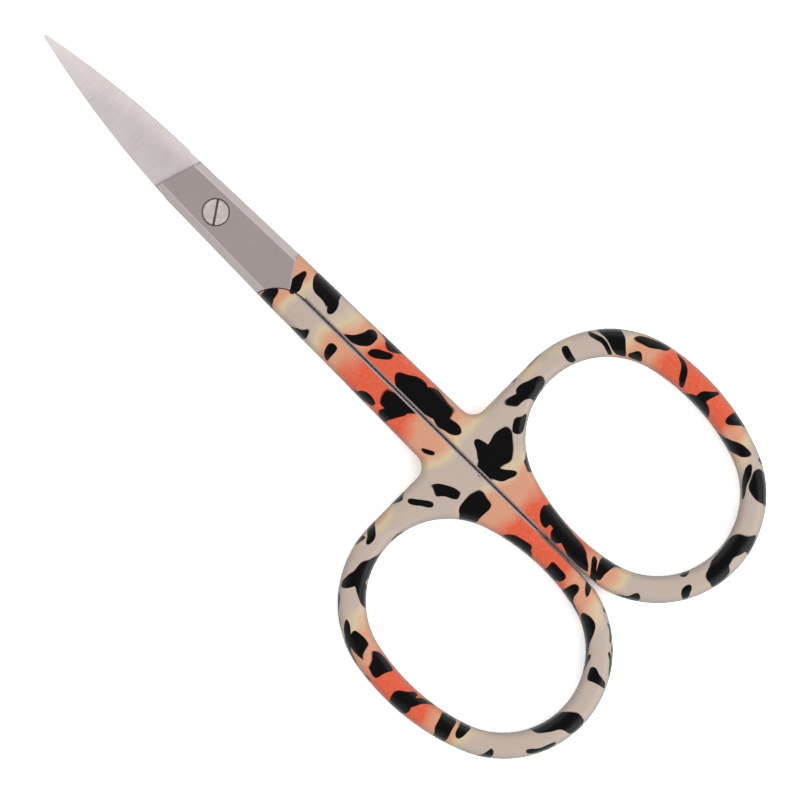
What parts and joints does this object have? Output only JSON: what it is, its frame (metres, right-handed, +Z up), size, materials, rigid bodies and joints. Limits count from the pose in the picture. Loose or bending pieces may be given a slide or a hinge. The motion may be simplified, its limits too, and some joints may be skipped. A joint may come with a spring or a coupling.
{
  "type": "cuticle scissors",
  "caption": "Slim cuticle scissors with pointed, upward-curved blades, a slotted pivot screw and oval finger bows in a glossy animal-print coat; squeezing the bows snips.",
  "frame": {"origin": "on the table, under the middle of the bounding box of the closed scissors", "axes": "+X along the closed scissors to the blade tips, +Y to the rear half's bow, +Z up to the screw-head side"},
  "size_m": [0.09, 0.0472, 0.0048],
  "materials": {
    "blade_steel": "satin brushed stainless steel",
    "screw_steel": "turned stainless steel with a bright rim",
    "printed_coat": "glossy lacquer with a black, orange and cream animal print"
  },
  "bodies": {
    "rear": {"rear_half": "blade_steel", "rear_handle_coating": "printed_coat", "pivot_screw": "screw_steel"},
    "front": {"front_half": "blade_steel", "front_handle_coating": "printed_coat"}
  },
  "joints": [
    {"name": "blade_pivot", "type": "hinge", "parent": "rear", "child": "front", "pos_m": [0.01946, 0, 0.0017], "axis": [0, 0, 1], "range_deg": [0, 60]}
  ]
}
